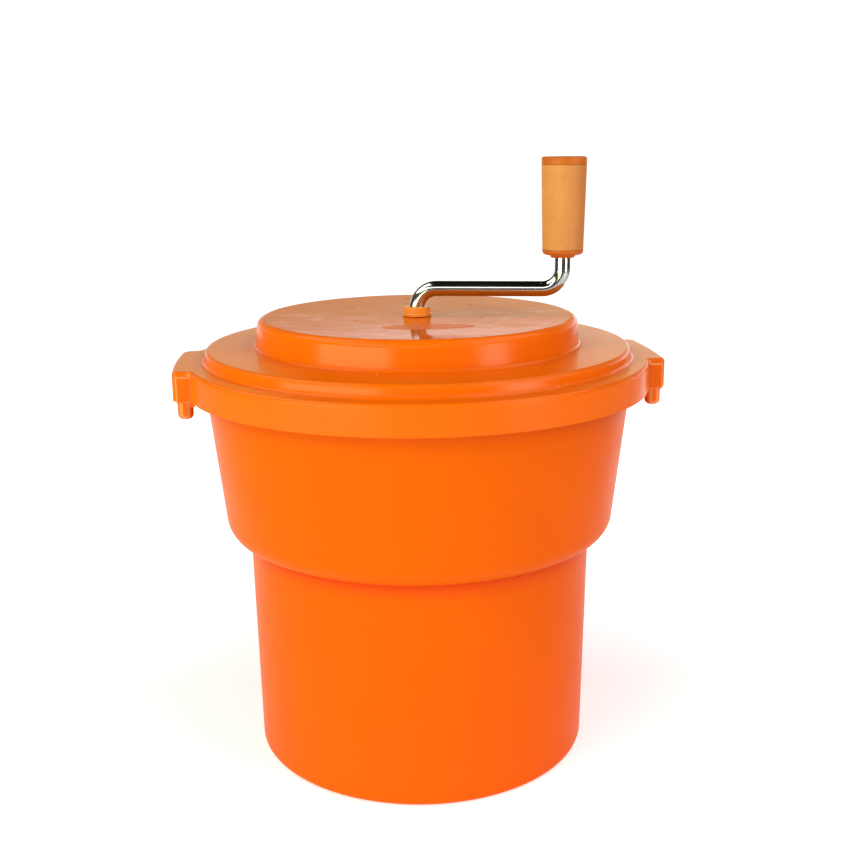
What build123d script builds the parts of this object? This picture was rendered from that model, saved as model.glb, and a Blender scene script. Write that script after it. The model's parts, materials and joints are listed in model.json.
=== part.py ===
"""Hand-cranked salad spinner of the 20 litre class, as an assembly of separate pieces.

A stepped round tub holds a slotted basket that spins on a steel pivot. The lid carries a crank
and a two-stage gear train: crank gear and idler pinion, then idler gear and output pinion. The
output pinion turns a drive plate, whose dogs sit in pockets of the basket's rim.

Frame: millimetres, +Z up. The origin is the centre of the tub's standing ring, on the floor.
The two lid ears lie along X, and the idler shaft stands behind the crank along +Y.
"""

import os
from math import acos, cos, pi, radians, sin, tan

from build123d import *

# ---------------------------------------------------------------- driving dimensions
# tub
TUB_WALL = 3.0
TUB_FOOT_RADIUS = 148.0
TUB_FOOT_FILLET = 6.0
TUB_WAIST_RADIUS = 151.6
TUB_STEP_HEIGHT = 198.0
TUB_SHOULDER_RADIUS = 169.8
TUB_SHOULDER_FILLET = 19.0
TUB_WAIST_FILLET = 0.8
TUB_INNER_FILLET = 5.0
TUB_INNER_WAIST_FILLET = 3.0
TUB_BEAD_THICKNESS = 4.0
TUB_RIM_HEIGHT = 349.6
TUB_RIM_RADIUS = 186.8
TUB_BEAD_RADIUS = 195.4
TUB_FLOOR_RECESS = 2.0
STANDING_RING_INNER = 133.0
LUG_RADIUS = 205.0
LUG_HALF_ANGLE = 8.5
LUG_HEIGHT = 12.0
PIVOT_DOME_RADIUS = 34.0
PIVOT_DOME_HEIGHT = 14.0
PIVOT_STUD_RADIUS = 5.0
PIVOT_FLANGE_RADIUS = 15.0
PIVOT_WASHER_THICKNESS = 1.2

# lid
LID_WALL = 3.0
LID_TOP = 388.6
LID_DISH = 1.4
LID_DRUM_TOP_RADIUS = 138.1
LID_DRUM_RADIUS = 140.0
DRUM_TOP_ROUND = 6.0
DRUM_BASE_FILLET = 3.0
SHELF_ROUND = 3.6
LEDGE_FILLET = 3.6
LID_SHELF_HEIGHT = 364.0
LID_SHELF_RADIUS = 183.2
LID_LEDGE_HEIGHT = 353.0
LID_LEDGE_INNER = 184.6
LID_FLANGE_RADIUS = 200.0
LID_FLANGE_BOTTOM = 328.2
SPIGOT_RADIUS = 181.2
SPIGOT_BOTTOM = 341.0
SPIGOT_THICKNESS = 2.4
SINK_MARK_BOTTOM_RADIUS = 1.2
SINK_MARK_TOP_RADIUS = 3.4
SINK_MARK_HEIGHT = 2.6

# ears of the lid: a bowed outer edge between side faces, with a block and a peg in front
EAR_REACH = 210.0
EAR_END = 207.5
EAR_HALF_WIDTH = 51.5
EAR_BOTTOM = 327.0
EAR_CORNER = 5.0
EAR_REAR_CORNER = 9.0
EAR_ROOT_FILLET = 6.0
EAR_INNER_RADIUS = 206.2
TOP_EDGE_ROUND = 3.2
BLOCK_CENTRE = 198.6
BLOCK_WIDTH = 12.4
BLOCK_TOP = 349.4
BLOCK_DEPTH = 9.0
BLOCK_PROUD = 3.0
BLOCK_BEVEL = 1.3
PEG_CENTRE = 198.0
PEG_RADIUS = 6.5
PEG_ROUND = 4.0
PEG_BOTTOM = 313.0
PEG_WEB_BOTTOM = 323.5

# gear train: two stages of the same tooth numbers, both on one centre distance
GEAR_MODULE = 2.0
PRESSURE_ANGLE = 25.0
WHEEL_TEETH = 24
PINION_TEETH = 12
GEAR_WIDTH = 9.0
TOOTH_BACKLASH = 0.3
CENTRE_DISTANCE = GEAR_MODULE * (WHEEL_TEETH + PINION_TEETH) / 2
STAGE_ONE_BOTTOM = 368.0
STAGE_TWO_BOTTOM = 348.2
HOUSING_RADIUS = 62.0
HOUSING_SPACING = 68.0
HOUSING_CENTRE_Y = 18.0
HOUSING_WALL = 2.6
COVER_TOP = 345.5
COVER_THICKNESS = 3.5
HOUSING_ROOF = 385.6
CRANK_BUSH_BOTTOM = 377.3
CRANK_BUSH_TOP = 387.2
CRANK_BUSH_RADIUS = 10.5
CRANK_HUB_BOTTOM = 360.0
CRANK_PIN_HEIGHT = 364.0
CRANK_PIN_RADIUS = 2.0
IDLER_SOCKET_BOTTOM = 378.8
IDLER_SHAFT_RADIUS = 4.0
HEX_RADIUS = 8.6
OUTPUT_SHAFT_RADIUS = 8.0
OUTPUT_BUSH_BOTTOM = 330.0
OUTPUT_BUSH_RADIUS = 11.0
SCREW_BOSS_RADIUS = 5.5
SCREW_SHANK_RADIUS = 1.8
SCREW_LENGTH = 14.0
COVER_SCREWS = [(0, -70), (54, -20), (54, 56), (0, 106), (-54, 56), (-54, -20)]

# crank and grip
ROD_RADIUS = 6.6
ROD_BOTTOM = 359.0
ROD_TOP = 511.0
ARM_HEIGHT = 411.0
CRANK_THROW = 124.8
CRANK_AZIMUTH = -11.7
ROD_BEND = 17.0
GRIP_BOTTOM = 437.0
SLEEVE_BOTTOM = 444.6
SLEEVE_TOP = 514.8
GRIP_TOP = 521.4
GRIP_TOP_RADIUS = 18.9
GRIP_BOTTOM_RADIUS = 17.3
CORE_RADIUS = 10.0
CORE_TOP = 505.0
CLIP_BOTTOM = 507.0
CLIP_THICKNESS = 1.2
CLIP_INNER = 5.8
COLLAR_RADIUS = 11.7
COLLAR_LIP = 12.6
COLLAR_TOP = 395.6

# basket, its pivot and its drive
BASKET_WALL = 2.6
BASKET_BOTTOM = 19.0
BASKET_RIM = 322.0
BASKET_FOOT_RADIUS = 136.0
BASKET_WAIST_RADIUS = 141.0
BASKET_STEP_HEIGHT = 214.0
BASKET_SHOULDER_RADIUS = 158.0
BASKET_MOUTH_RADIUS = 168.0
BASKET_HOOPS = [(317, 173.5, 5), (264, 165.0, 3), (112, 140.6, 3)]
SLOTS_AROUND = 40
SLOT_WIDTH = 4.5
SLOT_HEIGHT = 28.0
SLOT_ROWS = (44, 77, 120, 153, 232, 272)
DOG_COUNT = 4
DOG_WIDTH = 14.0
DOG_INNER = 148.0
DOG_OUTER = 158.0
PIN_RADIUS = 7.0
PIN_TOP = 60.0
RUNNING_FIT = 0.08
DRIVE_PLATE_BOTTOM = 323.5
DRIVE_PLATE_RADIUS = 161.0
DRIVE_HUB_TOP = 329.8
DRIVE_HUB_BOTTOM = 315.0
DRIVE_SCREW_RADIUS = 3.0
DOG_BOTTOM = 306.0

grip_x = CRANK_THROW * cos(radians(CRANK_AZIMUTH))
grip_y = CRANK_THROW * sin(radians(CRANK_AZIMUTH))
grip_axis = Axis((grip_x, grip_y, 0), (0, 0, 1))
grip_plane = Plane(origin=(grip_x, grip_y, 0), x_dir=(1, 0, 0), z_dir=(0, -1, 0))


# ---------------------------------------------------------------- helpers
def flank_angle(teeth, radius):
    """Half the angle that one tooth spans at this radius, from the involute's formula."""
    pitch_radius = GEAR_MODULE * teeth / 2
    base_radius = pitch_radius * cos(radians(PRESSURE_ANGLE))
    pressure = acos(base_radius / max(radius, base_radius))
    at_pitch = pi / (2 * teeth) - TOOTH_BACKLASH / (2 * pitch_radius)
    involute_at_pitch = tan(radians(PRESSURE_ANGLE)) - radians(PRESSURE_ANGLE)
    return at_pitch + involute_at_pitch - (tan(pressure) - pressure)


def polar_point(radius, angle):
    return (radius * cos(angle), radius * sin(angle))


def gear_face(teeth, centre_y, first_tooth):
    """Add a spur gear's outline to the sketch: involute flanks, tip arcs and root arcs."""
    pitch_radius = GEAR_MODULE * teeth / 2
    tip = pitch_radius + 0.95 * GEAR_MODULE
    root = pitch_radius - 1.25 * GEAR_MODULE
    base = max(root, pitch_radius * cos(radians(PRESSURE_ANGLE)))
    flank_radii = [base + (tip - base) * step / 4 for step in range(5)]
    pitch_angle = 2 * pi / teeth
    foot_angle = flank_angle(teeth, base)
    with BuildLine() as outline:
        for tooth in range(teeth):
            middle = radians(first_tooth) + tooth * pitch_angle
            rising = [polar_point(r, middle - flank_angle(teeth, r)) for r in flank_radii]
            falling = [polar_point(r, middle + flank_angle(teeth, r)) for r in flank_radii]
            rising_foot = polar_point(root, middle - foot_angle)
            falling_foot = polar_point(root, middle + foot_angle)
            next_foot = polar_point(root, middle + pitch_angle - foot_angle)
            Line(rising_foot, rising[0])
            Spline(*rising)
            ThreePointArc(rising[-1], polar_point(tip, middle), falling[-1])
            Spline(*reversed(falling))
            Line(falling[0], falling_foot)
            ThreePointArc(falling_foot, polar_point(root, middle + pitch_angle / 2), next_foot)
    gear_plan = make_face(outline.edges(), mode=Mode.PRIVATE)
    with Locations((0, centre_y)):
        add(gear_plan)


def housing_outline(inset, mode=Mode.ADD):
    """The gear housing's plan: a long round shape over both gear axes, drawn inwards by inset."""
    with Locations((0, HOUSING_CENTRE_Y)):
        SlotCenterToCenter(HOUSING_SPACING, 2 * (HOUSING_RADIUS - inset), rotation=90, mode=mode)


def sector_face(inner_radius, outer_radius, half_angle, corner):
    """Add a ring sector about +X to the sketch, with its two outer corners rounded."""
    end = radians(half_angle)
    with BuildLine() as outline:
        outer = ThreePointArc(
            polar_point(outer_radius, -end), (outer_radius, 0), polar_point(outer_radius, end)
        )
        inner = ThreePointArc(
            polar_point(inner_radius, -end), (inner_radius, 0), polar_point(inner_radius, end)
        )
        Line(outer @ 0, inner @ 0)
        Line(outer @ 1, inner @ 1)
    plan = make_face(outline.edges())
    fillet(plan.vertices().sort_by(Axis.X)[-2:], corner)


def round_corner(sketch, across, up, radius):
    """Fillet the sketch's corner that lies nearest to this point of its own plane."""
    fillet(sketch.vertices().sort_by_distance((across, up))[0], radius)


# ---------------------------------------------------------------- tub and pivot
with BuildPart() as tub:
    with BuildSketch(Plane.XZ) as tub_outside:
        with BuildLine():
            Polyline(
                (0, 0), (TUB_FOOT_RADIUS, 0), (TUB_WAIST_RADIUS, TUB_STEP_HEIGHT),
                (TUB_SHOULDER_RADIUS, TUB_STEP_HEIGHT), (TUB_RIM_RADIUS, TUB_RIM_HEIGHT),
                (0, TUB_RIM_HEIGHT), (0, 0),
            )
        make_face()
        round_corner(tub_outside, TUB_FOOT_RADIUS, 0, TUB_FOOT_FILLET)
        round_corner(tub_outside, TUB_SHOULDER_RADIUS, TUB_STEP_HEIGHT, TUB_SHOULDER_FILLET)
        round_corner(tub_outside, TUB_WAIST_RADIUS, TUB_STEP_HEIGHT, TUB_WAIST_FILLET)
    revolve(axis=Axis.Z)
    # the rolled bead of the rim, and a lug below each lid ear
    with BuildSketch(Plane.XY.offset(TUB_RIM_HEIGHT - TUB_BEAD_THICKNESS)):
        Circle(TUB_BEAD_RADIUS)
    extrude(amount=TUB_BEAD_THICKNESS)
    with BuildSketch(Plane.XY.offset(TUB_RIM_HEIGHT - LUG_HEIGHT)):
        sector_face(TUB_RIM_RADIUS - 10, LUG_RADIUS, LUG_HALF_ANGLE, 4)
        mirror(about=Plane.YZ)
    extrude(amount=LUG_HEIGHT)
    # the cavity follows the outside at one wall thickness
    cavity_floor = TUB_FLOOR_RECESS + TUB_WALL
    step_floor = TUB_STEP_HEIGHT + TUB_WALL
    shoulder_inside = TUB_SHOULDER_RADIUS - TUB_WALL + 0.3
    with BuildSketch(Plane.XZ) as tub_inside:
        with BuildLine():
            Polyline(
                (0, cavity_floor), (TUB_FOOT_RADIUS - TUB_WALL, cavity_floor),
                (TUB_WAIST_RADIUS - TUB_WALL, step_floor), (shoulder_inside, step_floor),
                (TUB_RIM_RADIUS - TUB_WALL, TUB_RIM_HEIGHT + 1), (0, TUB_RIM_HEIGHT + 1),
                (0, cavity_floor),
            )
        make_face()
        round_corner(tub_inside, TUB_FOOT_RADIUS - TUB_WALL, cavity_floor, TUB_INNER_FILLET)
        round_corner(tub_inside, shoulder_inside, step_floor, TUB_SHOULDER_FILLET - TUB_WALL - 1)
        round_corner(tub_inside, TUB_WAIST_RADIUS - TUB_WALL, step_floor, TUB_INNER_WAIST_FILLET)
    revolve(axis=Axis.Z, mode=Mode.SUBTRACT)
    # a shallow recess leaves a standing ring, and a dome in the middle carries the pivot pin
    with BuildSketch(Plane.XZ):
        with BuildLine():
            Polyline(
                (0, 0), (PIVOT_DOME_RADIUS + 4, 0), (PIVOT_DOME_RADIUS, PIVOT_DOME_HEIGHT),
                (0, PIVOT_DOME_HEIGHT), (0, 0),
            )
        make_face()
    revolve(axis=Axis.Z)
    with BuildSketch(Plane.XZ):
        with BuildLine():
            Polyline(
                (0, -1), (STANDING_RING_INNER, -1), (STANDING_RING_INNER - 2, TUB_FLOOR_RECESS),
                (PIVOT_DOME_RADIUS, TUB_FLOOR_RECESS), (PIVOT_DOME_RADIUS - 4, PIVOT_DOME_HEIGHT - 4),
                (0, PIVOT_DOME_HEIGHT - 4), (0, -1),
            )
        make_face()
    revolve(axis=Axis.Z, mode=Mode.SUBTRACT)
    with BuildSketch():
        Circle(PIVOT_STUD_RADIUS)
    extrude(amount=PIVOT_DOME_HEIGHT + 1, mode=Mode.SUBTRACT)
tub.part.label = "tub"

flange_bottom = PIVOT_DOME_HEIGHT + PIVOT_WASHER_THICKNESS
with BuildPart() as pivot_pin:
    with BuildSketch(Plane.XZ):
        with BuildLine():
            Polyline(
                (0, 3), (PIVOT_STUD_RADIUS, 3), (PIVOT_STUD_RADIUS, flange_bottom),
                (PIVOT_FLANGE_RADIUS, flange_bottom), (PIVOT_FLANGE_RADIUS, flange_bottom + 3),
                (PIN_RADIUS, flange_bottom + 3),
                (PIN_RADIUS, PIN_TOP - 3), (PIN_RADIUS - 3, PIN_TOP), (0, PIN_TOP), (0, 3),
            )
        make_face()
    revolve(axis=Axis.Z)
pivot_pin.part.label = "pivot_pin"

with BuildPart() as pivot_washer:
    with BuildSketch(Plane.XY.offset(PIVOT_DOME_HEIGHT)):
        Circle(PIVOT_FLANGE_RADIUS)
        Circle(PIVOT_STUD_RADIUS, mode=Mode.SUBTRACT)
    extrude(amount=PIVOT_WASHER_THICKNESS)
pivot_washer.part.label = "pivot_washer"

with BuildPart() as pivot_nut:
    with BuildSketch(Plane.XY.offset(4)):
        RegularPolygon(9.8, 6)
        Circle(PIVOT_STUD_RADIUS, mode=Mode.SUBTRACT)
    extrude(amount=PIVOT_DOME_HEIGHT - 8)
    chamfer(pivot_nut.faces().sort_by(Axis.Z)[0].outer_wire().edges(), 0.8)
pivot_nut.part.label = "pivot_nut"

# ---------------------------------------------------------------- basket and its bearing
bush_bottom = PIVOT_DOME_HEIGHT + 4.5
bush_radius = 12.0
with BuildPart() as pivot_bush:
    with BuildSketch(Plane.XZ):
        with BuildLine():
            Polyline(
                (PIN_RADIUS + RUNNING_FIT, bush_bottom), (17, bush_bottom), (17, bush_bottom + 2.5),
                (bush_radius, bush_bottom + 2.5), (bush_radius, PIN_TOP - 2),
                (PIN_RADIUS + RUNNING_FIT, PIN_TOP - 2), (PIN_RADIUS + RUNNING_FIT, bush_bottom),
            )
        make_face()
    revolve(axis=Axis.Z)
pivot_bush.part.label = "pivot_bush"

with BuildPart() as basket:
    hub_bottom = bush_bottom + 2.8
    with BuildSketch(Plane.XZ):
        with BuildLine():
            Polyline(
                (0, BASKET_BOTTOM), (BASKET_FOOT_RADIUS, BASKET_BOTTOM),
                (BASKET_WAIST_RADIUS, BASKET_STEP_HEIGHT),
                (BASKET_SHOULDER_RADIUS, BASKET_STEP_HEIGHT + 14), (BASKET_MOUTH_RADIUS, BASKET_RIM),
                (0, BASKET_RIM), (0, BASKET_BOTTOM),
            )
        bowl_face = make_face()
        fillet(bowl_face.vertices().group_by(Axis.Y)[0].sort_by(Axis.X)[-1:], 14)
    revolve(axis=Axis.Z)
    # rim bead and two stiffening hoops outside
    for hoop_height, hoop_radius, hoop_width in BASKET_HOOPS:
        with BuildSketch(Plane.XY.offset(hoop_height)):
            Circle(hoop_radius)
        extrude(amount=hoop_width)
    with BuildSketch(Plane.XZ):
        with BuildLine():
            Polyline(
                (0, BASKET_BOTTOM + BASKET_WALL),
                (BASKET_FOOT_RADIUS - BASKET_WALL, BASKET_BOTTOM + BASKET_WALL),
                (BASKET_WAIST_RADIUS - BASKET_WALL, BASKET_STEP_HEIGHT + 1),
                (BASKET_SHOULDER_RADIUS - BASKET_WALL, BASKET_STEP_HEIGHT + 15),
                (BASKET_MOUTH_RADIUS - BASKET_WALL, BASKET_RIM + 1), (0, BASKET_RIM + 1),
                (0, BASKET_BOTTOM + BASKET_WALL),
            )
        hollow_face = make_face()
        fillet(hollow_face.vertices().group_by(Axis.Y)[0].sort_by(Axis.X)[-1:], 12)
    revolve(axis=Axis.Z, mode=Mode.SUBTRACT)
    # hub over the pivot bush, with a rounded cap
    with BuildSketch(Plane.XZ):
        with BuildLine():
            Polyline(
                (0, BASKET_BOTTOM), (30, BASKET_BOTTOM), (17, 40), (15.5, PIN_TOP + 7),
                (0, PIN_TOP + 7), (0, BASKET_BOTTOM),
            )
        hub_face = make_face()
        fillet(hub_face.vertices().group_by(Axis.Y)[-1].sort_by(Axis.X)[-1:], 5)
    revolve(axis=Axis.Z)
    with BuildSketch(Plane.XZ):
        with BuildLine():
            Polyline(
                (0, BASKET_BOTTOM - 1), (18.5, BASKET_BOTTOM - 1), (18.5, hub_bottom),
                (bush_radius + RUNNING_FIT, hub_bottom), (bush_radius + RUNNING_FIT, PIN_TOP + 1),
                (0, PIN_TOP + 2), (0, BASKET_BOTTOM - 1),
            )
        make_face()
    revolve(axis=Axis.Z, mode=Mode.SUBTRACT)
    # pockets for the drive dogs: pairs of ribs inside the mouth
    with BuildSketch(Plane.XY.offset(296)):
        with PolarLocations(0, DOG_COUNT, start_angle=45):
            for rib_side in (-1, 1):
                with Locations((DOG_INNER + 8, rib_side * (DOG_WIDTH / 2 + 2.5))):
                    Rectangle(19.5, 3)
    extrude(amount=22)
    # drain slots in the wall, in rows, and in the floor, in rings
    for row_bottom in SLOT_ROWS:
        with BuildSketch(Plane.XY.offset(row_bottom)):
            with PolarLocations(150, SLOTS_AROUND, start_angle=4.5):
                Rectangle(50, SLOT_WIDTH)
        extrude(amount=SLOT_HEIGHT, mode=Mode.SUBTRACT)
    with BuildSketch(Plane.XY.offset(BASKET_BOTTOM - 1)):
        with PolarLocations(0, 20):
            with Locations((56, 0)):
                SlotOverall(28, SLOT_WIDTH)
        with PolarLocations(0, 40):
            with Locations((98, 0)):
                SlotOverall(36, SLOT_WIDTH)
    extrude(amount=BASKET_WALL + 2, mode=Mode.SUBTRACT)
basket.part.label = "basket"

# ---------------------------------------------------------------- lid
with BuildPart() as ear_block:
    # raised block with bevelled edges on the ear's front face, and the round peg below it
    with BuildSketch(Plane.XY.offset(EAR_BOTTOM)):
        with Locations((BLOCK_CENTRE, BLOCK_DEPTH / 2 - BLOCK_PROUD - EAR_HALF_WIDTH)):
            Rectangle(BLOCK_WIDTH, BLOCK_DEPTH)
    extrude(amount=BLOCK_TOP - EAR_BOTTOM)
    chamfer(ear_block.faces().sort_by(Axis.Y)[0].edges(), BLOCK_BEVEL)
    with BuildSketch(Plane.XY.offset(PEG_BOTTOM)):
        with Locations((PEG_CENTRE, 4 - EAR_HALF_WIDTH)):
            Circle(PEG_RADIUS)
    extrude(amount=EAR_BOTTOM - PEG_BOTTOM + 2)
    fillet(ear_block.edges().group_by(Axis.Z)[0], PEG_ROUND)
    # a small web ties the peg to the skirt's lower edge
    with BuildSketch(Plane.XY.offset(PEG_WEB_BOTTOM)):
        with Locations((PEG_CENTRE - PEG_RADIUS, 1 - EAR_HALF_WIDTH)):
            Rectangle(2 * PEG_RADIUS, 4)
    extrude(amount=EAR_BOTTOM - PEG_WEB_BOTTOM + 2)

with BuildPart() as lid:
    # skirt and ears: one plan, its inner corners and its top edge rounded
    with BuildSketch(Plane.XY.offset(LID_FLANGE_BOTTOM)) as skirt_plan:
        Circle(LID_FLANGE_RADIUS)
        with BuildLine():
            bowed_edge = ThreePointArc(
                (EAR_END, -EAR_HALF_WIDTH), (EAR_REACH, 0), (EAR_END, EAR_HALF_WIDTH)
            )
            Polyline(bowed_edge @ 1, (150, EAR_HALF_WIDTH), (150, -EAR_HALF_WIDTH), bowed_edge @ 0)
        make_face()
        round_corner(skirt_plan, EAR_END, -EAR_HALF_WIDTH, EAR_CORNER)
        round_corner(skirt_plan, EAR_END, EAR_HALF_WIDTH, EAR_REAR_CORNER)
        mirror(about=Plane.YZ)
        root_x = (LID_FLANGE_RADIUS**2 - EAR_HALF_WIDTH**2) ** 0.5
        for side in (-1, 1):
            for end in (-1, 1):
                round_corner(skirt_plan, side * root_x, end * EAR_HALF_WIDTH, EAR_ROOT_FILLET)
    extrude(amount=LID_LEDGE_HEIGHT - LID_FLANGE_BOTTOM)
    fillet(lid.faces().sort_by(Axis.Z)[-1].edges(), TOP_EDGE_ROUND)
    # raised drum and shelf, with a dished top
    with BuildSketch(Plane.XZ) as drum_outside:
        with BuildLine():
            dish = ThreePointArc(
                (0, LID_TOP - LID_DISH), (LID_DRUM_TOP_RADIUS / 2, LID_TOP - 0.75 * LID_DISH),
                (LID_DRUM_TOP_RADIUS, LID_TOP),
            )
            Polyline(
                dish @ 1, (LID_DRUM_RADIUS, LID_SHELF_HEIGHT), (LID_SHELF_RADIUS, LID_SHELF_HEIGHT),
                (LID_LEDGE_INNER, LID_LEDGE_HEIGHT), (LID_LEDGE_INNER + 6, LID_LEDGE_HEIGHT),
                (LID_LEDGE_INNER + 6, LID_FLANGE_BOTTOM), (0, LID_FLANGE_BOTTOM), dish @ 0,
            )
        make_face()
        round_corner(drum_outside, LID_DRUM_TOP_RADIUS, LID_TOP, DRUM_TOP_ROUND)
        round_corner(drum_outside, LID_DRUM_RADIUS, LID_SHELF_HEIGHT, DRUM_BASE_FILLET)
        round_corner(drum_outside, LID_SHELF_RADIUS, LID_SHELF_HEIGHT, SHELF_ROUND)
        round_corner(drum_outside, LID_LEDGE_INNER, LID_LEDGE_HEIGHT, LEDGE_FILLET)
    revolve(axis=Axis.Z)
    add(ear_block.part)
    mirror(ear_block.part, about=Plane.YZ)
    # inside of the shell
    with BuildSketch(Plane.XZ):
        with BuildLine():
            under_dish = ThreePointArc(
                (0, LID_TOP - LID_DISH - LID_WALL),
                (LID_DRUM_TOP_RADIUS / 2, LID_TOP - 0.75 * LID_DISH - LID_WALL),
                (LID_DRUM_TOP_RADIUS - LID_WALL, LID_TOP - LID_WALL),
            )
            Polyline(
                under_dish @ 1, (LID_DRUM_RADIUS - LID_WALL, LID_SHELF_HEIGHT - LID_WALL),
                (LID_SHELF_RADIUS - LID_WALL, LID_SHELF_HEIGHT - LID_WALL),
                (LID_LEDGE_INNER - LID_WALL, LID_LEDGE_HEIGHT - LID_WALL),
                (LID_FLANGE_RADIUS - LID_WALL, LID_LEDGE_HEIGHT - LID_WALL),
                (LID_FLANGE_RADIUS - LID_WALL, PEG_WEB_BOTTOM - 1), (0, PEG_WEB_BOTTOM - 1),
                under_dish @ 0,
            )
        make_face()
    revolve(axis=Axis.Z, mode=Mode.SUBTRACT)
    # each ear is hollow below, so that it drops over the tub's lug
    with BuildSketch(Plane.XY.offset(EAR_BOTTOM - 1)):
        sector_face(LID_FLANGE_RADIUS - LID_WALL - 4, EAR_INNER_RADIUS, LUG_HALF_ANGLE + 1, 1)
        mirror(about=Plane.YZ)
    extrude(amount=LID_LEDGE_HEIGHT - LID_WALL - EAR_BOTTOM + 1, mode=Mode.SUBTRACT)
    # spigot ring that centres the lid inside the tub's mouth
    with BuildSketch(Plane.XY.offset(SPIGOT_BOTTOM)):
        Circle(SPIGOT_RADIUS)
        Circle(SPIGOT_RADIUS - SPIGOT_THICKNESS, mode=Mode.SUBTRACT)
    extrude(amount=LID_SHELF_HEIGHT - LID_WALL - SPIGOT_BOTTOM + 0.5)
    # gear housing wall and screw bosses under the top
    with BuildSketch(Plane.XY.offset(COVER_TOP)):
        housing_outline(0)
        housing_outline(HOUSING_WALL, Mode.SUBTRACT)
        with Locations(*COVER_SCREWS):
            Circle(SCREW_BOSS_RADIUS)
    extrude(amount=HOUSING_ROOF - COVER_TOP)
    # boss of the crank bush and socket of the idler shaft
    with BuildSketch(Plane.XY.offset(CRANK_BUSH_BOTTOM + 1.2)):
        Circle(15)
    extrude(amount=HOUSING_ROOF - CRANK_BUSH_BOTTOM - 1.2)
    with BuildSketch(Plane.XY.offset(IDLER_SOCKET_BOTTOM)):
        with Locations((0, CENTRE_DISTANCE)):
            Circle(9)
    extrude(amount=HOUSING_ROOF - IDLER_SOCKET_BOTTOM)
    with BuildSketch(Plane.XY.offset(CRANK_BUSH_BOTTOM)):
        Circle(CRANK_BUSH_RADIUS)
    extrude(amount=LID_TOP - CRANK_BUSH_BOTTOM, mode=Mode.SUBTRACT)
    with BuildSketch(Plane.XY.offset(IDLER_SOCKET_BOTTOM - 1)):
        with Locations((0, CENTRE_DISTANCE)):
            Circle(IDLER_SHAFT_RADIUS)
    extrude(amount=6, mode=Mode.SUBTRACT)
    # pilot holes of the cover screws, and the sink marks that their bosses leave on the top
    with BuildSketch(Plane.XY.offset(COVER_TOP - 1)):
        with Locations(*COVER_SCREWS):
            Circle(SCREW_SHANK_RADIUS)
    extrude(amount=SCREW_LENGTH + 2, mode=Mode.SUBTRACT)
    with Locations(*[(x, y, LID_TOP - 0.8) for x, y in COVER_SCREWS]):
        Cone(SINK_MARK_BOTTOM_RADIUS, SINK_MARK_TOP_RADIUS, SINK_MARK_HEIGHT, mode=Mode.SUBTRACT)
lid.part.label = "lid"

# ---------------------------------------------------------------- gear train in the lid
with BuildPart() as crank_bush:
    with BuildSketch(Plane.XY.offset(CRANK_BUSH_BOTTOM)):
        Circle(14)
    extrude(amount=1.2)
    with BuildSketch(Plane.XY.offset(CRANK_BUSH_BOTTOM)):
        Circle(CRANK_BUSH_RADIUS)
    extrude(amount=CRANK_BUSH_TOP - CRANK_BUSH_BOTTOM)
    with BuildSketch(Plane.XY.offset(CRANK_BUSH_BOTTOM)):
        Circle(ROD_RADIUS + RUNNING_FIT)
    extrude(amount=20, mode=Mode.SUBTRACT)
crank_bush.part.label = "crank_bush"

with BuildPart() as crank_gear:
    with BuildSketch(Plane.XY.offset(STAGE_ONE_BOTTOM)):
        gear_face(WHEEL_TEETH, 0, 0)
    extrude(amount=GEAR_WIDTH)
    with BuildSketch(Plane.XY.offset(CRANK_HUB_BOTTOM)):
        Circle(12)
    extrude(amount=STAGE_ONE_BOTTOM - CRANK_HUB_BOTTOM)
    with BuildSketch(Plane.XY.offset(CRANK_HUB_BOTTOM)):
        Circle(ROD_RADIUS)
    extrude(amount=30, mode=Mode.SUBTRACT)
    with BuildSketch(Plane.XZ):
        with Locations((0, CRANK_PIN_HEIGHT)):
            Circle(CRANK_PIN_RADIUS)
    extrude(amount=15, both=True, mode=Mode.SUBTRACT)
crank_gear.part.label = "crank_gear"

with BuildPart() as crank_pin:
    with BuildSketch(Plane.XZ):
        with Locations((0, CRANK_PIN_HEIGHT)):
            Circle(CRANK_PIN_RADIUS)
    extrude(amount=11.5, both=True)
crank_pin.part.label = "crank_pin"

with BuildPart() as idler_shaft:
    with BuildSketch(Plane.XY.offset(COVER_TOP - 5)):
        with Locations((0, CENTRE_DISTANCE)):
            Circle(IDLER_SHAFT_RADIUS)
    extrude(amount=IDLER_SOCKET_BOTTOM + 4.5 - COVER_TOP + 5)
idler_shaft.part.label = "idler_shaft"

with BuildPart() as idler_pinion:
    with BuildSketch(Plane.XY.offset(STAGE_ONE_BOTTOM - 0.5)):
        gear_face(PINION_TEETH, CENTRE_DISTANCE, 15)
    extrude(amount=GEAR_WIDTH + 1)
    with BuildSketch(Plane.XY.offset(STAGE_TWO_BOTTOM)):
        with Locations((0, CENTRE_DISTANCE)):
            RegularPolygon(HEX_RADIUS, 6)
    extrude(amount=STAGE_ONE_BOTTOM - 0.5 - STAGE_TWO_BOTTOM)
    with BuildSketch(Plane.XY.offset(STAGE_TWO_BOTTOM)):
        with Locations((0, CENTRE_DISTANCE)):
            Circle(IDLER_SHAFT_RADIUS + RUNNING_FIT)
    extrude(amount=40, mode=Mode.SUBTRACT)
idler_pinion.part.label = "idler_pinion"

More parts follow.
